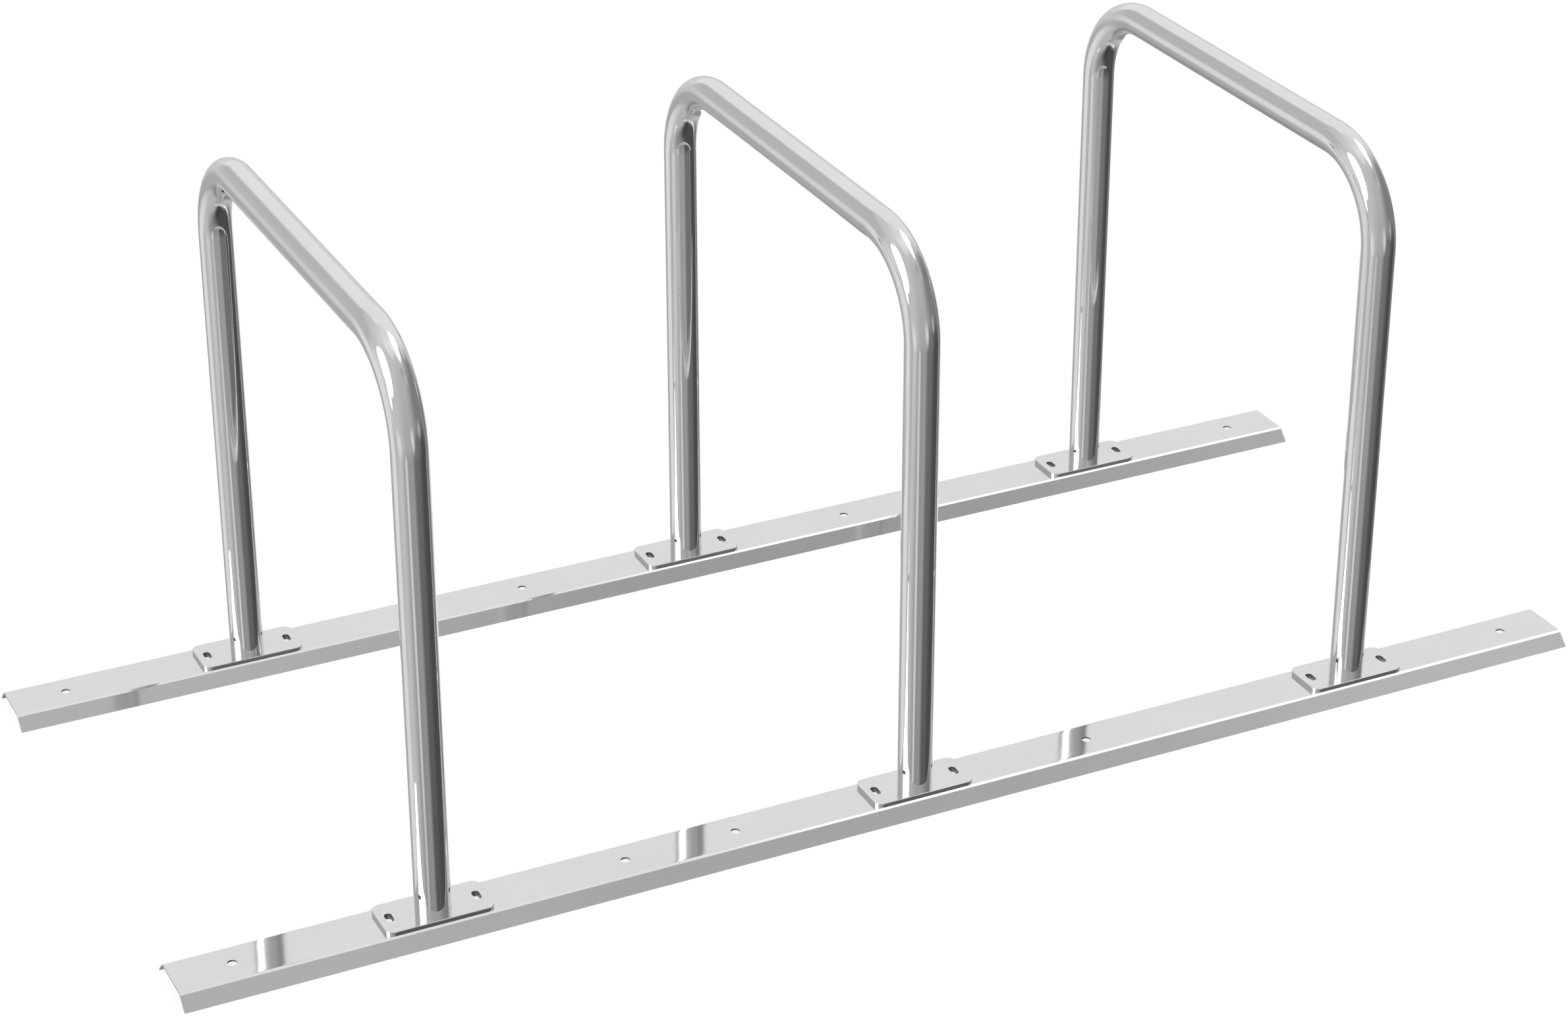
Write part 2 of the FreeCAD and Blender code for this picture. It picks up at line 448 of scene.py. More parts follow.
def make_piece(name: str, surface: Surface, finish: SteelFinish, *nodes: str) -> bpy.types.Object:
    """A finished piece in its place, riding on the rack.

    Args:
        name: the piece's name.
        surface: its closed skin.
        finish: its steel.
        nodes: the frame's nodes that it stands for.

    Returns:
        The piece's object.
    """
    mesh = bpy.data.meshes.new(name)
    mesh.vertices.add(len(surface.points))
    mesh.vertices.foreach_set("co", surface.points.astype(np.float32).ravel())
    count, corners = surface.faces.shape
    mesh.loops.add(count * corners)
    mesh.loops.foreach_set("vertex_index", surface.faces.astype(np.int32).ravel())
    mesh.polygons.add(count)
    mesh.polygons.foreach_set("loop_start", np.arange(count, dtype=np.int32) * corners)
    mesh.update(calc_edges=True)
    skin = bmesh.new()
    skin.from_mesh(mesh)
    bmesh.ops.recalc_face_normals(skin, faces=skin.faces)
    open_edges = sum(1 for edge in skin.edges if len(edge.link_faces) != 2)
    skin.to_mesh(mesh)
    skin.free()
    mesh.shade_smooth()
    mesh.set_sharp_from_angle(angle=SHARP_ANGLE)
    mesh.materials.append(finish.material())
    marked = mesh.attributes.new(CUT_EDGE, "FLOAT", "FACE")
    marked.data.foreach_set("value", surface.cut.astype(np.float32))
    piece = new_object(name, mesh)
    even = piece.modifiers.new("flat_faces_stay_flat", "WEIGHTED_NORMAL")
    even.mode = "FACE_AREA"
    even.weight = AREA_WEIGHT
    even.keep_sharp = True
    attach(piece, BODY)
    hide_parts(*nodes)
    log.info("%s: %d faces, %d open edges", name, count, open_edges)
    return piece


# Hoops

@dataclass
class HoopTube:
    """A round tube bent to a hoop: a leg, a bend, the top bar, a bend and a leg, with bevelled feet."""

    place: Place                   # which hoop of the row
    wall: float = 0.0026           # of the tube
    foot_bevel: float = 0.002      # height and depth of the bevel round a foot, which the weld fills
    bend_inner_r: float = 0.100    # inside of the two top bends
    steps_round: int = 96          # faces round the tube
    steps_bend: int = 48           # faces along a bend
    steps_straight: int = 12       # faces along a leg or the bar

    def __post_init__(self) -> None:
        """Read the hoop's place and size off the frame."""
        self.node = self.place.value + "_hoop_tube"
        self.box = NodeBox.of(self.node)
        self.tube_r, self.half_width, _ = self.box.half

    def skin(self) -> Surface:
        """Outer and inner wall of the bent tube, and the rings at its feet.

        The hoop turns about two corners, at (-c, zc) and (c, zc). At a turn a the tube's section lies in the
        direction (cos a, sin a) from its corner, and at an angle p round the section a point is at
        x = hoop + r sin p, y = corner + (R + r cos p) cos a, z = zc - drop + (R + r cos p) sin a,
        with r the wall's radius and R the bend's. In a leg the drop below the bend grows, and in the bar the
        corner moves from one bend to the other. The rows go over the hoop on the outer wall and back on the
        inner one. At the feet the outer wall stops at the bevel, which then leads to a ring on the plate.

        Returns:
            The closed skin.
        """
        bend_r = self.bend_inner_r + self.tube_r
        corner_y = self.half_width - self.tube_r - bend_r
        corner_z = self.box.top_z - self.tube_r - bend_r
        leg = corner_z - self.box.low_z
        straights, bends = self.steps_straight, self.steps_bend
        still = np.zeros(straights)
        turn = np.concatenate([still + math.pi, straight(math.pi, math.pi / 2, bends), still + math.pi / 2,
                               straight(math.pi / 2, 0, bends), np.zeros(straights + 1)])
        corner = np.concatenate([np.full(straights + bends, -corner_y),
                                 straight(-corner_y, corner_y, straights),
                                 np.full(bends + straights + 1, corner_y)])
        drop = np.concatenate([straight(leg, 0, straights), np.zeros(2 * bends + straights),
                               np.linspace(0, leg, straights + 1)])
        rows = len(turn)
        order = np.concatenate([[0], np.arange(rows), [rows - 1], np.arange(rows)[::-1]])
        radius = np.full(len(order), self.tube_r - self.wall)
        radius[:rows + 2] = self.tube_r
        radius[[0, rows + 1]] = self.tube_r - self.foot_bevel
        drop = drop[order]
        drop[[1, rows]] = leg - self.foot_bevel
        angle = all_round(self.steps_round)
        reach = bend_r + radius[:, None] * np.cos(angle)
        sideways = self.box.middle[0] + radius[:, None] * np.sin(angle)
        across = corner[order][:, None] + reach * np.cos(turn[order])[:, None]
        up = (corner_z - drop)[:, None] + reach * np.sin(turn[order])[:, None]
        return Surface.grid(np.stack([sideways, across, up], axis=-1), wrap_rows=True, wrap_columns=True)

    def build(self) -> bpy.types.Object:
        """The hoop's tube, with its straight-tube places kept for the polishing lines.

        On the straight tube a point is at (run, r cos p, r sin p), with the run measured along the tube's
        middle from one foot over the hoop, and back again on the inner wall.

        Returns:
            The piece.
        """
        surface = self.skin()
        piece = make_piece(self.node + "_polished", surface, HOOP_FINISH, self.node)
        rows = surface.points.reshape(-1, self.steps_round, 3)
        middle = rows.mean(axis=1)
        run = np.cumsum(np.concatenate([[0.0], np.linalg.norm(np.diff(middle, axis=0), axis=1)]))
        half = len(run) // 2
        run[half:] = run[half - 1] - (run[half:] - run[half])
        angle = all_round(self.steps_round)
        radius = np.linalg.norm(rows - middle[:, None, :], axis=2)
        along = np.broadcast_to(run[:, None], radius.shape)
        unbent = np.stack([along, radius * np.cos(angle), radius * np.sin(angle)], axis=-1)
        kept = piece.data.attributes.new(UNBENT, "FLOAT_VECTOR", "POINT")
        kept.data.foreach_set("vector", unbent.astype(np.float32).ravel())
        return piece


@dataclass
class FootPlate:
    """The flat plate under one leg, with rounded corners, a softened top edge, two slots and a bolt hole."""

    place: Place                      # which hoop of the row
    side: Side                        # which of its feet
    corner_r: float = 0.012           # of the plate's corners
    edge_round: float = 0.001         # of its top edge
    slot_width: float = 0.010         # of the slot at each end
    slot_length: float = 0.020        # of the slot, across the rail
    slot_end_margin: float = 0.010    # from a slot to the end of the plate
    bolt_hole_d: float = 0.011        # of the hole under the tube
    steps_side: int = 24              # faces along a side of one of the three areas; a multiple of three
    steps_edge: int = 6               # faces over the softened edge
    rings: int = 4                    # rings of faces round a hole

    def __post_init__(self) -> None:
        """Read the plate's place and size off the frame."""
        self.node = f"{self.place.value}_hoop_{self.side.value}_plate"
        self.box = NodeBox.of(self.node)
        self.middle = self.box.middle[:2]
        self.half_length, self.half_width, _ = self.box.half

    @property
    def cut_x(self) -> float:
        """Half way along the half plate: where the middle area ends and an end area starts."""
        return self.half_length / 2

    def end_run(self, inset: float) -> Array:
        """Outline of the end at +X, from one cut up to the other: side, corner, end, corner and side.

        A corner is centre + (r - inset)(cos a, sin a), with r the corner radius.

        Args:
            inset: how far inside the plate's own outline.

        Returns:
            Points x 2, about the plate's middle.
        """
        third = self.steps_side // 3
        end_x, side_y = self.half_length - inset, self.half_width - inset
        radius = self.corner_r - inset
        turn_x, turn_y = end_x - radius, side_y - radius
        turn = straight(-math.pi / 2, math.pi / 2, 4 * third)
        lower, upper = np.split(radius * np.column_stack([np.cos(turn), np.sin(turn)]), 2)
        return np.vstack([straight((self.cut_x, -side_y), (turn_x, -side_y), 2 * third),
                          lower + (turn_x, -turn_y),
                          straight((end_x, -turn_y), (end_x, turn_y), third),
                          upper + (turn_x, turn_y),
                          straight((turn_x, side_y), (self.cut_x, side_y), 2 * third)])

    def areas(self, inset: float) -> list[Array]:
        """Outlines of the plate's three areas, each with one hole: the end at +X, the one at -X, the middle.

        Args:
            inset: how far inside the plate's own outline.

        Returns:
            For each area, points x 2 in the rack's frame.
        """
        cut, side_y = self.cut_x, self.half_width - inset
        corners = np.array([(-cut, -side_y), (cut, -side_y), (cut, side_y), (-cut, side_y), (-cut, -side_y)])
        middle = np.vstack([straight(*pair, self.steps_side) for pair in zip(corners, corners[1:])])
        end = np.vstack([self.end_run(inset), straight(corners[2], corners[1], self.steps_side)])
        return [self.middle + end, self.middle - end, self.middle + middle]

    def outline(self, inset: float) -> Array:
        """The plate's whole outline at an inset: half of it, then the same turned half a turn.

        Args:
            inset: how far inside the plate's own outline.

        Returns:
            Points x 2 in the rack's frame.
        """
        cut, side_y = self.cut_x, self.half_width - inset
        half = np.vstack([self.end_run(inset), straight((cut, side_y), (-cut, side_y), self.steps_side)])
        return self.middle + np.vstack([half, -half])

    def holes(self) -> list[Hole]:
        """The holes of the three areas, in the areas' order.

        Returns:
            The two slots and the bolt hole.
        """
        x, y = self.middle
        offset = self.half_length - self.slot_end_margin - self.slot_width / 2
        radius, half_run = self.slot_width / 2, (self.slot_length - self.slot_width) / 2
        slots = [Hole(slot_x, y, radius, half_run) for slot_x in (x + offset, x - offset)]
        return slots + [Hole(x, y, self.bolt_hole_d / 2)]

    def skin(self) -> Surface:
        """The plate's three areas and its edge.

        The edge turns over at the top: at an angle t from 0 to a quarter turn it is inset by e (1 - sin t)
        and lies e (1 - cos t) below the top, with e the edge round. Below that it goes straight down.

        Returns:
            The closed skin.
        """
        low_z, top_z = self.box.low_z, self.box.top_z
        parts = [holed_slab(top, bottom, hole, top_z, low_z, self.rings)
                 for top, bottom, hole in zip(self.areas(self.edge_round), self.areas(0.0), self.holes())]
        turn = np.linspace(0.0, math.pi / 2, self.steps_edge + 1)
        insets = self.edge_round * (1 - np.sin(turn))
        heights = top_z - self.edge_round * (1 - np.cos(turn))
        edge = [level(self.outline(inset), z) for inset, z in zip(insets, heights)]
        edge.append(level(self.outline(0.0), low_z))
        parts.append(Surface.grid(np.stack(edge), wrap_columns=True))
        return Surface.joined(parts)

    def build(self) -> bpy.types.Object:
        """The finished plate."""
        return make_piece(self.node + "_polished", self.skin(), PLATE_FINISH, self.node)


@dataclass
class FootWeld:
    """The weld that fills the bevel round the foot of a leg, ground flush with the tube."""

    place: Place             # which hoop of the row
    side: Side               # which of its feet
    steps_face: int = 4      # faces up the ground face
    steps_round: int = 96    # faces round the leg

    def __post_init__(self) -> None:
        """Read the weld's place and size off the frame."""
        self.node = f"{self.place.value}_hoop_{self.side.value}_weld"
        self.box = NodeBox.of(self.node)

    def skin(self) -> Surface:
        """The weld's section turned about the leg.

        The ground face stands straight up from the toe on the plate to the crown on the tube. The root, as
        far inside the toe as the crown is above it, closes the section.

        Returns:
            The closed skin.
        """
        toe_r, bevel = self.box.half[0], self.box.top_z - self.box.low_z
        face = np.linspace(self.box.low_z, self.box.top_z, self.steps_face + 1)
        radii = [toe_r] * len(face) + [toe_r - bevel]
        rings = turned(radii, [*face, self.box.low_z], all_round(self.steps_round))
        x, y, _ = self.box.middle
        return Surface.grid(rings + (x, y, 0.0), wrap_rows=True, wrap_columns=True)

    def build(self) -> bpy.types.Object:
        """The finished weld."""
        return make_piece(self.node + "_ground", self.skin(), WELD_FINISH, self.node)


@dataclass
class FootFasteners:
    """The bolts, washers and weld nuts that hold a hoop's two feet on the rails from below."""

    place: Place                        # which hoop of the row
    bolt_d: float = 0.010               # of the bolts' thread
    head_flats: float = 0.016           # across the flats of a bolt's head
    head_height: float = 0.0064         # of a bolt's head
    bolt_end_chamfer: float = 0.0012    # at the end of the thread
    thread_pitch: float = 0.0015        # from one turn of the thread to the next
    thread_depth: float = 0.0009        # from the thread's crest to its root
    washer_hole_d: float = 0.0105       # of the washers
    washer_edge: float = 0.0003         # softening of the washers' edges
    nut_flats: float = 0.017            # across the flats of a nut
    nut_hole_d: float = 0.0101          # of the nuts
    hex_chamfer_deg: float = 30.0       # slope of the trimmed corners of heads and nuts
    hex_circle_share: float = 0.97      # of the flat end circle of heads and nuts, as a share of the flats
    steps_hex: int = 8                  # faces along one flat
    steps_thread: int = 8               # faces along one turn of the thread

    def __post_init__(self) -> None:
        """Read the feet's places off the frame, and set the directions round a fastener."""
        self.feet = [FootWeld(self.place, side).box.middle * (1.0, 1.0, 0.0) for side in Side]
        self.turn = np.arange(6 * self.steps_hex) * math.pi / 3 / self.steps_hex

    def hexagon(self, flats: float) -> tuple[float, Array, Array]:
        """A hexagon with its corners trimmed by a cone that starts at a flat end circle.

        The radius is half the flats over cos(a - 30 degrees), with a taken within one flat. The trimmed
        corners reach (radius - circle) tan(slope) along the axis.

        Args:
            flats: across the flats.

        Returns:
            The circle's radius, and in each direction the hexagon's radius and the reach of the trim.
        """
        radius = flats / 2 / np.cos(np.mod(self.turn, math.pi / 3) - math.pi / 6)
        circle = flats / 2 * self.hex_circle_share
        return circle, radius, (radius - circle) * math.tan(math.radians(self.hex_chamfer_deg))

    def bolts(self, box: NodeBox) -> Surface:
        """A hexagon bolt: the trimmed head, its seat, the thread and the chamfered end.

        The thread's radius is r - depth w, where w is the triangle wave |2 f - 1| of f, the fraction of
        height / pitch - a / (2 pi), so that it climbs by one pitch in a turn. It fades in and out at its
        ends.

        Args:
            box: of the bolts.

        Returns:
            The closed skin, about the upright axis.
        """
        circle, hexagon, reach = self.hexagon(self.head_flats)
        crest = self.bolt_d / 2
        seat_z = box.low_z + self.head_height
        end_z = box.top_z - self.bolt_end_chamfer
        turns = (end_z - seat_z) / self.thread_pitch
        height = np.linspace(seat_z, end_z, math.ceil(turns * self.steps_thread) + 1)
        phase = np.mod((height[:, None] - seat_z) / self.thread_pitch - self.turn / (2 * math.pi), 1.0)
        fade = np.clip(np.minimum(height - seat_z, end_z - height) / self.thread_pitch, 0.0, 1.0)
        thread = crest - self.thread_depth * fade[:, None] * np.abs(2 * phase - 1)
        radii = [circle, hexagon, hexagon, *thread, crest - self.bolt_end_chamfer]
        heights = [box.low_z, box.low_z + reach, seat_z, *height, box.top_z]
        rings = turned(radii, heights, self.turn)
        parts = [Surface.grid(rings, wrap_columns=True), Surface.disc(rings[0]), Surface.disc(rings[-1])]
        return Surface.joined(parts)

    def washers(self, box: NodeBox) -> Surface:
        """A flat washer with softened edges, as a closed loop of rings.

        Args:
            box: of the washers.

        Returns:
            The closed skin, about the upright axis.
        """
        soft, inner_r, outer_r = self.washer_edge, self.washer_hole_d / 2, box.half[0]
        low_z, top_z = box.low_z, box.top_z
        lower_r = [inner_r, inner_r + soft, outer_r - soft, outer_r]
        heights = [low_z + soft, low_z, low_z, low_z + soft, top_z - soft, top_z, top_z, top_z - soft]
        rings = turned(lower_r + lower_r[::-1], heights, self.turn)
        return Surface.grid(rings, wrap_rows=True, wrap_columns=True)

    def weld_nuts(self, box: NodeBox) -> Surface:
        """A hexagon nut with its upper corners trimmed, as a closed loop of rings.

        Args:
            box: of the nuts.

        Returns:
            The closed skin, about the upright axis.
        """
        circle, hexagon, reach = self.hexagon(self.nut_flats)
        bore = self.nut_hole_d / 2
        heights = [box.low_z, box.low_z, box.top_z - reach, box.top_z, box.top_z]
        rings = turned([bore, hexagon, hexagon, circle, bore], heights, self.turn)
        return Surface.grid(rings, wrap_rows=True, wrap_columns=True)

    def build(self) -> list[bpy.types.Object]:
        """The hoop's bolts, washers and weld nuts, each the same at both feet.

        Returns:
            The three pieces.
        """
        pieces = []
        shapes = {"bolts": self.bolts, "washers": self.washers, "weld_nuts": self.weld_nuts}
        for group, shape in shapes.items():
            node = f"{self.place.value}_hoop_{group}"
            one = shape(NodeBox.of(node))
            both = Surface.joined([Surface(one.points + foot, one.faces) for foot in self.feet])
            pieces.append(make_piece(node + "_plain", both, FASTENER_FINISH, node))
        return pieces


@dataclass
class Hoop:
    """One hoop of the row, with its feet and fasteners."""

    place: Place    # which hoop of the row

    def build(self) -> list[bpy.types.Object]:
        """The tube, then each foot's plate and weld, then the fasteners.

        Returns:
            The pieces.
        """
        pieces = [HoopTube(self.place).build()]
        for side in Side:
            pieces.append(FootPlate(self.place, side).build())
            pieces.append(FootWeld(self.place, side).build())
        return pieces + FootFasteners(self.place).build()


# Rails

@dataclass
class GroundRail:
    """A ground rail folded from sheet: a flat web with holes, and a flange out and down on each side."""

    side: Side                           # which of the two rails
    wall: float = 0.0025                 # of the sheet
    bend_inner_r: float = 0.0025         # inside of the folds
    fold_round: float = 0.42             # share of a fold's radius at its ends; it is pressed flat between
    fold_flat_deg: float = 30.0          # slope of that flat below the level
    flange_deg: float = 45.0             # slope of the flanges below the level
    anchor_hole_d: float = 0.013         # of the round anchor holes
    anchor_end_inset: float = 0.080      # from the end of the rail to its end hole
    anchor_hoop_offset: float = 0.270    # from a hoop to the inner holes beside it
    steps_web: int = 16                  # faces across the web, and along the area round a hole
    steps_bend: int = 4                  # points over each of a fold's two rounds
    rings: int = 4                       # rings of faces round a hole

    def __post_init__(self) -> None:
        """Read the rail's place and size, and the feet that stand on it, off the frame."""
        self.node = self.side.value + "_rail"
        self.box = NodeBox.of(self.node)
        self.y = self.box.middle[1]
        self.half_length, self.foot_y, _ = self.box.half
        self.plates = [FootPlate(place, self.side) for place in Place]

    def fold(self, radius: float) -> Array:
        """One face of the sheet on the +Y side, from the web over the fold and down to the ground.

        The fold is pressed flat: the web turns over a small round into the flat, and the flat over another
        into the flange, which runs straight on to the ground. A round is centre + r (sin t, cos t), with r
        its radius and t the slope. The fold starts where a round one, of radius R, would. Drawn on to their
        corners, the web is then w = R tan(flange / 2) - r tan(flat / 2) short of the flange, and the flat is
        w sin(flange) / sin(turn) long, with the turn from the flat's slope to the flange's. Each round takes
        r tan(its turn / 2) off the flat.

        Args:
            radius: of this face in the fold.

        Returns:
            Points x 2: across the rail, and up.
        """
        slope, flat = math.radians(self.flange_deg), math.radians(self.fold_flat_deg)
        low_z, outer_r = self.box.low_z, self.bend_inner_r + self.wall
        centre_z = self.box.top_z - outer_r
        drop = centre_z + outer_r * math.cos(slope) - low_z
        centre_y = self.foot_y - drop / math.tan(slope) - outer_r * math.sin(slope)
        small_r = radius * self.fold_round
        upper_cut, lower_cut = small_r * math.tan(flat / 2), small_r * math.tan((slope - flat) / 2)
        web_short = radius * math.tan(slope / 2) - upper_cut
        length = web_short * math.sin(slope) / math.sin(slope - flat) - upper_cut - lower_cut
        centres = np.array([[centre_y, centre_z + radius - small_r]] * 2)
        centres[1] += length * math.cos(flat), -length * math.sin(flat)
        turn = np.linspace((0.0, flat), (flat, slope), self.steps_bend).T.ravel()
        bend = np.repeat(centres, self.steps_bend, axis=0)
        bend += small_r * np.column_stack([np.sin(turn), np.cos(turn)])
        tip_y, tip_z = bend[-1]
        return np.vstack([bend, [tip_y + (tip_z - low_z) / math.tan(slope), low_z]])

    def face_line(self, radius: float) -> Array:
        """One face of the sheet all the way across, from one foot to the other.

        Args:
            radius: of this face in the folds.

        Returns:
            Points x 2 in the rack's frame: across, and up.
        """
        fold = self.fold(radius)
        web_y, web_z = fold[0]
        web = np.linspace(-web_y, web_y, self.steps_web + 1)[1:-1]
        web = np.column_stack([web, np.full(len(web), web_z)])
        return np.vstack([fold[::-1] * (-1.0, 1.0), web, fold]) + (self.y, 0.0)

    def holes(self) -> list[Hole]:
        """The web's holes along the rail: under each foot two slots and a bolt hole, and the anchor holes.

        The front rail has anchor holes near both ends, on the inner side of the left hoop and on both sides
        of the middle one. The rear rail is the same rail turned half a turn.

        Returns:
            The holes, in order along the rail.
        """
        holes = [hole for plate in self.plates for hole in plate.holes()]
        left, middle, _ = (plate.middle[0] for plate in self.plates)
        end = self.half_length - self.anchor_end_inset
        offset = self.anchor_hoop_offset
        facing = 1 if self.side is Side.FRONT else -1
        for x in (-end, left + offset, middle - offset, middle + offset, end):
            holes.append(Hole(facing * x, self.y, self.anchor_hole_d / 2))
        return sorted(holes, key=lambda hole: hole.x)

    def hole_area(self, hole: Hole, along: Array, across: Array) -> Surface:
        """The slab with a hole in it that fills a gap in the web.

        Args:
            hole: the hole.
            along: places of the gap's points along the rail.
            across: places of its points across the rail.

        Returns:
            The surface, open at the gap's edge.
        """
        sides = ((along[:-1], across[0]), (along[-1], across[:-1]),
                 (along[:0:-1], across[-1]), (along[0], across[:0:-1]))
        edge = np.vstack([np.column_stack(np.broadcast_arrays(x, y)) for x, y in sides])
        top_z = self.box.top_z
        return holed_slab(edge, edge, hole, top_z, top_z - self.wall, self.rings)

    def skin(self) -> Surface:
        """The folded sheet, the areas round its holes and its two ends.

        The section is carried along X. Round each hole the web's upper and lower faces are left out for the
        length of an area, which a slab with the hole in it fills. Points that coincide are joined.

        Returns:
            The closed skin.
        """
        outer = self.face_line(self.bend_inner_r + self.wall)
        inner = self.face_line(self.bend_inner_r)
        section = np.vstack([outer, inner[::-1]])
        holes = self.holes()
        reach = self.plates[0].holes()[0].x - self.plates[0].middle[0]
        areas = [snapped(np.linspace(hole.x - reach / 2, hole.x + reach / 2, self.steps_web + 1))
                 for hole in holes]
        ends = snapped(np.array([-self.half_length, self.half_length]))
        stations = np.unique(np.concatenate([ends, *areas]))
        shape = (len(stations), len(section))
        places = (stations[:, None], section[:, 0], section[:, 1])
        grid = np.stack([np.broadcast_to(place, shape) for place in places], axis=-1)
        sheet = Surface.grid(grid, wrap_columns=True)
        between = (stations[1:] + stations[:-1]) / 2
        in_area = (np.abs(between[:, None] - [hole.x for hole in holes]) < reach / 2).any(axis=1)
        first = 2 * self.steps_bend
        in_web = np.zeros(len(section), bool)
        for start in (first, len(outer) + first):
            in_web[start:start + self.steps_web] = True
        faces = sheet.faces.reshape(len(between), len(section), -1)
        parts = [Surface(sheet.points, faces[~(in_area[:, None] & in_web)])]
        web_y = outer[first:first + self.steps_web + 1, 0]
        parts += [self.hole_area(hole, area, web_y) for hole, area in zip(holes, areas)]
        for x in ends:
            end = [np.column_stack([np.full(len(line), x), line]) for line in (outer, inner)]
            parts.append(Surface.grid(np.stack(end)))
        return Surface.joined(parts)

    def build(self) -> bpy.types.Object:
        """The finished rail."""
        return make_piece(self.node + "_polished", self.skin(), RAIL_FINISH, self.node)


# Studio

def direction(azimuth_deg: float, elevation_deg: float) -> Vector:
    """Direction at an azimuth a, from +Y towards +X, and an elevation e: (sin a cos e, cos a cos e, sin e).

    Args:
        azimuth_deg: the azimuth.
        elevation_deg: the elevation above the level.

    Returns:
        A vector of length 1.
    """
    azimuth, elevation = math.radians(azimuth_deg), math.radians(elevation_deg)
    flat = math.cos(elevation)
    return Vector((math.sin(azimuth) * flat, math.cos(azimuth) * flat, math.sin(elevation)))


@dataclass(frozen=True)
class StudioArea:
    """A soft-edged bright or dark area of the studio, as the polished steel mirrors it."""

    name: str                             # what it is
    azimuth_deg: float                    # of its middle, from +Y towards +X
    elevation_deg: float                  # of its middle, above the level
    half_width_deg: float                 # from its middle to its side edges
    half_height_deg: float                # from its middle to its upper and lower edges
    softness: float                       # of its edges, as a share of its size
    brightness: float                     # where 1 is white paper
    outline: Outline = Outline.ROUND      # its outline
    second_only: bool = False             # whether it shows only in reflections of reflections

    def mask(self, board: NodeBoard, place: Socket) -> Socket:
        """How much of the area shows in a direction: 1 inside, 0 outside, smooth between.

        The direction's way from the middle, across and up, is taken as a share of the half width and the half
        height. A round area ends where that share's length is 1, a square one where the larger of the two is.

        Args:
            board: the world's nodes.
            place: azimuth and elevation of the direction.

        Returns:
            The output.
        """
        middle = (math.radians(self.azimuth_deg), math.radians(self.elevation_deg), 0.0)
        size = (math.radians(self.half_width_deg), math.radians(self.half_height_deg), 1.0)
        half_turn = (math.pi, math.pi, math.pi)
        away = board.vector("SUBTRACT", place, middle).outputs[0]
        near = board.vector("WRAP", away, half_turn, tuple(-x for x in half_turn)).outputs[0]
        share = board.vector("DIVIDE", near, size).outputs[0]
        if self.outline is Outline.ROUND:
            reach = board.vector("LENGTH", share).outputs["Value"]
        else:
            sides = board.vector("ABSOLUTE", share).outputs[0]
            parts = board.add("ShaderNodeSeparateXYZ", {"Vector": sides})
            reach = board.math("MAXIMUM", parts.outputs["X"], parts.outputs["Y"])
        return board.ramp(reach, 1 - self.softness, 1 + self.softness, 1.0, 0.0, blend="SMOOTHSTEP")


# Name, azimuth, elevation, half width, half height, softness and brightness of each area, the last on top
STUDIO_AREAS = (
    StudioArea("floor", 0, -72, 181, 28, 0.5, 0.54, Outline.SQUARE),
    StudioArea("floor_below", 0, -90, 181, 13, 0.5, 0.30, Outline.SQUARE),
    StudioArea("ceiling", 0, 90, 181, 15, 0.4, 0.90, Outline.SQUARE),
    StudioArea("upper_front", 8, 63, 92, 23, 0.5, 0.80),
    StudioArea("rear_wall", 168, 36, 44, 29, 0.5, 0.53),
    StudioArea("rear_shade", 139.5, 53.3, 10.5, 4.8, 0.7, 0.41),
    StudioArea("rear_glow", 129.5, 41, 8, 5, 0.7, 0.76),
    StudioArea("room_behind", -172, -8, 42, 34, 0.5, 0.47),
    StudioArea("rear_floor", -150, -48, 42, 26, 0.5, 0.31),
    StudioArea("floor_behind", 162, -76, 66, 30, 0.5, 0.06),
    StudioArea("dark_side_wall", 108, 8, 50, 34, 0.55, 0.24),
    StudioArea("dark_side_floor", 128, -40, 51, 35, 0.25, 0.08),
    StudioArea("dark_side_glow", 156, -16, 24, 14, 0.7, 0.20),
    StudioArea("left_glow", -56, -12, 25, 30, 0.5, 0.84),
    StudioArea("left_shade", -20, -27, 15, 16, 0.4, 0.46),
    StudioArea("front_shade", 10, -56, 29, 24, 0.5, 0.20),
    StudioArea("grey_haze", -30, 44, 34, 24, 0.8, 0.64),
    StudioArea("grey_wall", -33, 21, 24, 17, 0.3, 0.54, Outline.SQUARE),
    StudioArea("backdrop", 31, 33, 40, 30, 0.12, 0.88, Outline.SQUARE),
    StudioArea("backdrop_floor", 29, -24.5, 31, 11.5, 0.35, 1.06),
    StudioArea("backdrop_foot", 17, -44, 29, 9.5, 0.14, 0.30, Outline.SQUARE),
    StudioArea("horizon", 30, 2, 40, 9, 0.8, 0.70, Outline.SQUARE),
    StudioArea("right_shade", 77, -22, 14, 33, 0.7, 0.22),
    StudioArea("key_softbox", -93, 34, 22, 20, 0.12, 3.2),
    StudioArea("key_softbox_foot", -92, 13, 6, 11, 0.15, 3.2),
    StudioArea("top_haze", 90, 74, 28, 10, 0.6, 0.95),
    StudioArea("top_softbox", 86, 58.5, 30, 11, 0.2, 1.5),
    StudioArea("top_softbox_foot", 74, 50, 9, 9, 0.25, 1.5),
    StudioArea("top_softbox_glow", 76, 33, 8, 9, 0.6, 0.75),
    StudioArea("low_light", -108, -15, 10, 8, 0.8, 0.82),
    StudioArea("low_shade", -80, -22, 8, 10, 0.7, 0.54),
    StudioArea("right_lamp", 130, -2, 7, 6, 0.8, 0.50),
    StudioArea("rear_lamp", 175, -6, 8, 10, 0.8, 0.78),
    StudioArea("left_lamp", -139, -28.5, 6, 6, 0.8, 0.76),
    StudioArea("far_floor", 0, -44, 181, 45, 0.15, 0.49, Outline.SQUARE, second_only=True),
)


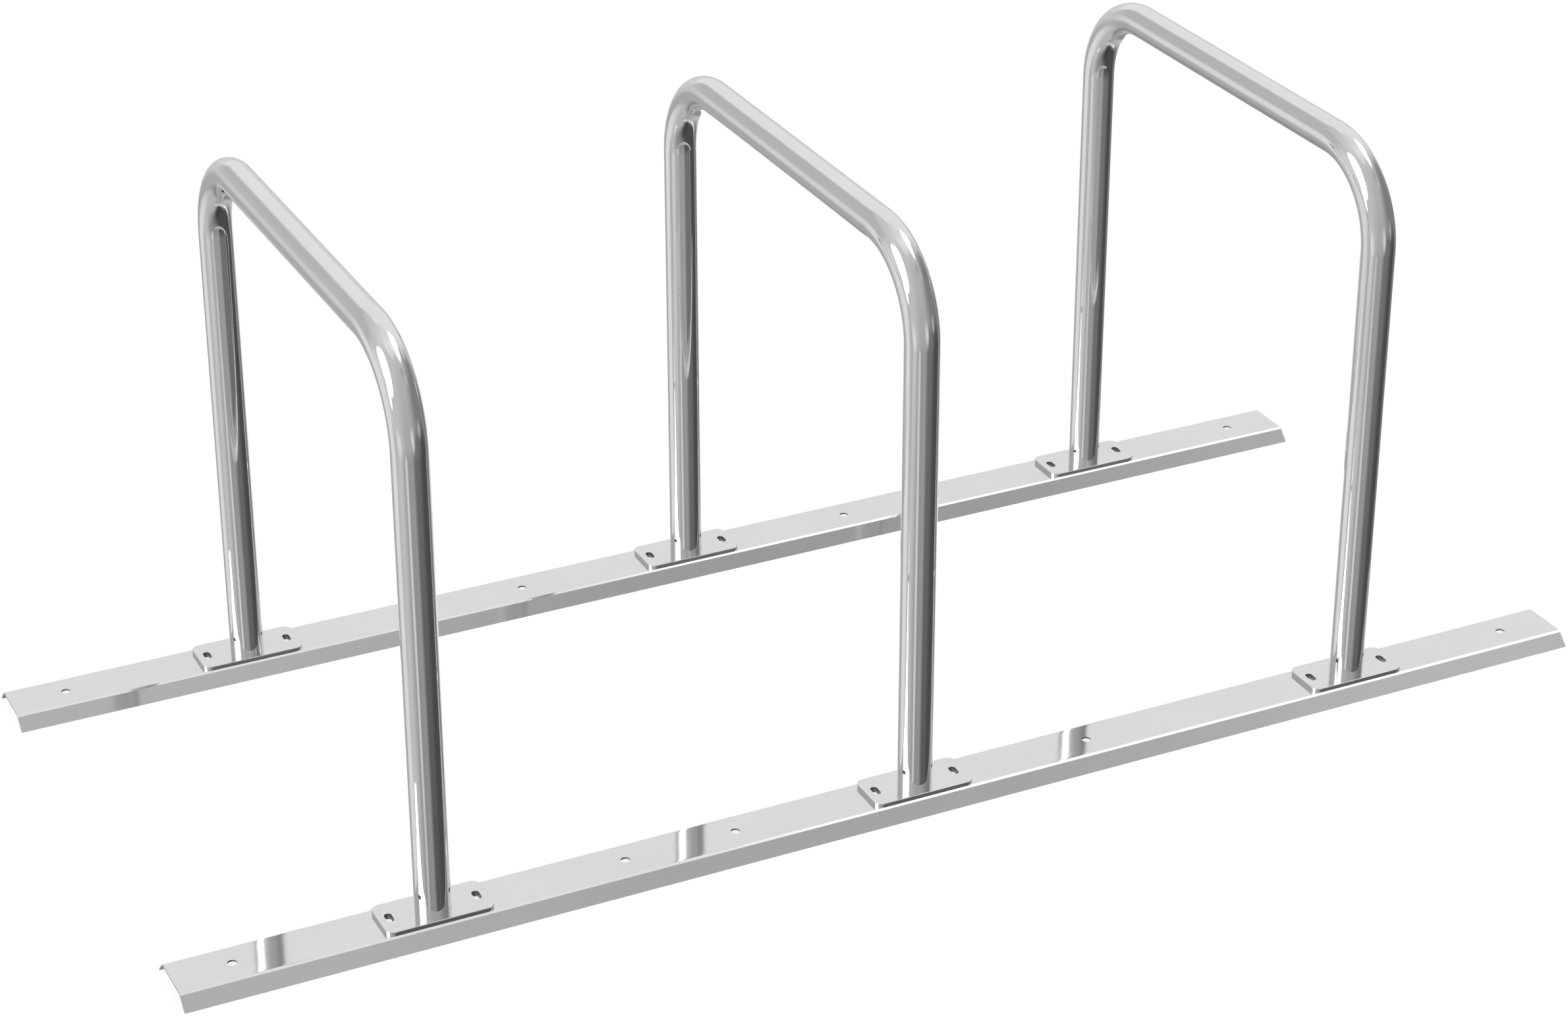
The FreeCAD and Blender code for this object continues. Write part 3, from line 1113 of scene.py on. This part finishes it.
@dataclass(frozen=True)
class SoftLamp:
    """A soft lamp that throws the rack's faint shadow on the floor."""

    name: str               # what it is
    azimuth_deg: float      # where it stands, from +Y towards +X
    elevation_deg: float    # above the level
    distance: float         # from the middle of the floor
    size: float             # of its square face
    power: float            # in watts

    def build(self) -> bpy.types.Object:
        """The lamp, turned to the middle of the floor and left out of mirror reflections.

        Returns:
            The lamp's object.
        """
        light = bpy.data.lights.new(self.name, "AREA")
        light.energy = self.power
        light.size = self.size
        lamp = new_object(self.name, light)
        out = direction(self.azimuth_deg, self.elevation_deg)
        lamp.location = out * self.distance
        lamp.rotation_mode = "QUATERNION"
        lamp.rotation_quaternion = out.to_track_quat("Z", "Y")
        lamp.visible_glossy = False
        return lamp


@dataclass
class Studio:
    """The pale floor, the studio that the steel mirrors, the soft lamps and the camera."""

    floor_reach: float = 40.0           # half the floor's side
    floor_gap: float = 0.0002           # of the floor below the rack's feet
    floor_steps: int = 8                # faces along a side of the floor
    floor_glow: float = 0.86            # share of the floor's white that shadows don't darken
    floor_white: float = 0.18           # share of the floor's white that comes from the light on it
    floor_cloud_white: float = 0.98     # white of the floor's dullest clouds, as a share of that
    floor_cloud_scale: float = 0.7      # clouds to a metre
    floor_cloud_detail: float = 2.0     # finer clouds within the clouds
    floor_plain: tuple[float, ...] = (0.8, 0.8, 0.8, 1.0)    # the floor's colour away from the camera
    room_level: float = 0.62            # brightness of the studio away from its bright and dark areas
    soft_level: float = 0.8             # even light on the floor
    second_depth: float = 2.5           # above a mirrored ray's depth, 2, and below that of its reflection, 3
    image_width: int = 2380             # of the photograph, in pixels
    image_height: int = 1542            # of the photograph, in pixels
    focal_px: float = 5568.2            # focal length, in pixels of the photograph
    centre_px: tuple[float, float] = (1215.5, 658.4)    # the camera's axis, from the upper left corner
    camera_place: tuple[float, float, float] = (-2.02105, -4.14328, 2.66267)
    yaw_deg: float = -26.124            # the camera's turn to the left of +Y
    pitch_deg: float = -26.2995         # its tilt above the level
    roll_deg: float = 0.0656            # its turn about its axis
    sensor_width: float = 36.0          # of the camera, in millimetres
    lamps: tuple[SoftLamp, ...] = (
        SoftLamp("key_lamp", -92, 40, 6.0, 3.0, 60.0),
        SoftLamp("top_lamp", 88, 62, 6.0, 3.0, 60.0),
    )

    def floor_material(self) -> bpy.types.Material:
        """Plain pale floor: to the camera it glows near white and keeps the rack's shadow.

        Returns:
            The material.
        """
        made = bpy.data.materials.new("pale_floor")
        board = NodeBoard.fresh(made)
        place = board.add("ShaderNodeTexCoord").outputs["Object"]
        clouds = board.noise(place, self.floor_cloud_scale, self.floor_cloud_detail)
        white = board.ramp(clouds, *CLOUD_SPAN, self.floor_white * self.floor_cloud_white, self.floor_white)
        lit = board.add("ShaderNodeBsdfDiffuse", {"Color": board.grey(white)})
        glow = board.add("ShaderNodeEmission", {"Strength": self.floor_glow})
        seen = board.add("ShaderNodeAddShader", {0: lit.outputs[0], 1: glow.outputs[0]})
        plain = board.add("ShaderNodeBsdfDiffuse", {"Color": self.floor_plain})
        path = board.add("ShaderNodeLightPath")
        mixed = board.either(path.outputs["Is Camera Ray"], plain.outputs[0], seen.outputs[0])
        board.add("ShaderNodeOutputMaterial", {"Surface": mixed})
        return made

    def floor(self) -> bpy.types.Object:
        """The floor: a flat grid just below the feet, which the mirror finish looks through to the studio.

        Returns:
            The floor's object.
        """
        reach = np.linspace(-self.floor_reach, self.floor_reach, self.floor_steps + 1)
        x, y = np.meshgrid(reach, reach)
        surface = Surface.grid(np.stack([x, y, np.full_like(x, -self.floor_gap)], axis=-1))
        mesh = bpy.data.meshes.new("floor")
        mesh.from_pydata(surface.points.tolist(), [], surface.faces[:, ::-1].tolist())
        mesh.materials.append(self.floor_material())
        floor = new_object("floor", mesh)
        floor.visible_glossy = False
        return floor

    def world(self) -> bpy.types.World:
        """The studio: white to the camera, a room with soft boxes to mirrors, even light to the rest.

        A direction's azimuth is atan2(x, y) and its elevation asin(z). The areas are laid over the room one
        after another: room (1 - mask) + brightness mask.

        Returns:
            The world.
        """
        world = bpy.data.worlds.new("studio")
        board = NodeBoard.fresh(world)
        ray = board.add("ShaderNodeTexCoord").outputs["Generated"]
        part = board.add("ShaderNodeSeparateXYZ", {"Vector": ray})
        azimuth = board.math("ARCTAN2", part.outputs["X"], part.outputs["Y"])
        elevation = board.math("ARCSINE", part.outputs["Z"])
        place = board.add("ShaderNodeCombineXYZ", {"X": azimuth, "Y": elevation}).outputs[0]
        path = board.add("ShaderNodeLightPath")
        again = board.math("GREATER_THAN", path.outputs["Ray Depth"], self.second_depth)
        shown: float | Socket = self.room_level
        for area in STUDIO_AREAS:
            mask = area.mask(board, place)
            if area.second_only:
                mask = board.math("MULTIPLY", mask, again)
            shown = board.mix(mask, shown, area.brightness)
        mirrored, even, white = (
            board.add("ShaderNodeBackground", {"Color": WHITE, "Strength": strength}).outputs[0]
            for strength in (shown, self.soft_level, 1.0)
        )
        unseen = board.either(path.outputs["Is Glossy Ray"], even, mirrored)
        mixed = board.either(path.outputs["Is Camera Ray"], unseen, white)
        board.add("ShaderNodeOutputWorld", {"Surface": mixed})
        bpy.context.scene.world = world
        return world

    def camera(self) -> bpy.types.Object:
        """The camera at the photograph's viewing angle.

        Returns:
            The camera's object.
        """
        yaw, roll = math.radians(self.yaw_deg), math.radians(self.roll_deg)
        ahead = direction(-self.yaw_deg, self.pitch_deg)
        level_right = Vector((math.cos(yaw), math.sin(yaw), 0.0))
        level_up = level_right.cross(ahead)
        right = level_right * math.cos(roll) + level_up * math.sin(roll)
        up = level_up * math.cos(roll) - level_right * math.sin(roll)
        data = bpy.data.cameras.new("camera")
        data.sensor_fit = "HORIZONTAL"
        data.sensor_width = self.sensor_width
        data.lens = self.sensor_width * self.focal_px / self.image_width
        data.shift_x = (self.image_width / 2 - self.centre_px[0]) / self.image_width
        data.shift_y = (self.centre_px[1] - self.image_height / 2) / self.image_width
        data.clip_end = 2 * self.floor_reach
        camera = new_object("camera", data)
        turned_to = Matrix((right, up, -ahead)).transposed().to_4x4()
        camera.matrix_world = Matrix.Translation(self.camera_place) @ turned_to
        bpy.context.scene.camera = camera
        return camera

    def build(self) -> None:
        """Floor, world, lamps and camera, and plain colour handling."""
        bpy.context.scene.view_settings.view_transform = "Standard"
        self.floor()
        self.world()
        for lamp in self.lamps:
            lamp.build()
        self.camera()


def main() -> None:
    """Build the rails and the hoops, then the studio round them."""
    logging.basicConfig(level=logging.INFO, format="%(message)s")
    pieces = [GroundRail(side).build() for side in Side]
    for place in Place:
        pieces.extend(Hoop(place).build())
    Studio().build()
    log.info("%d pieces", len(pieces))


if __name__ == "__main__":
    main()
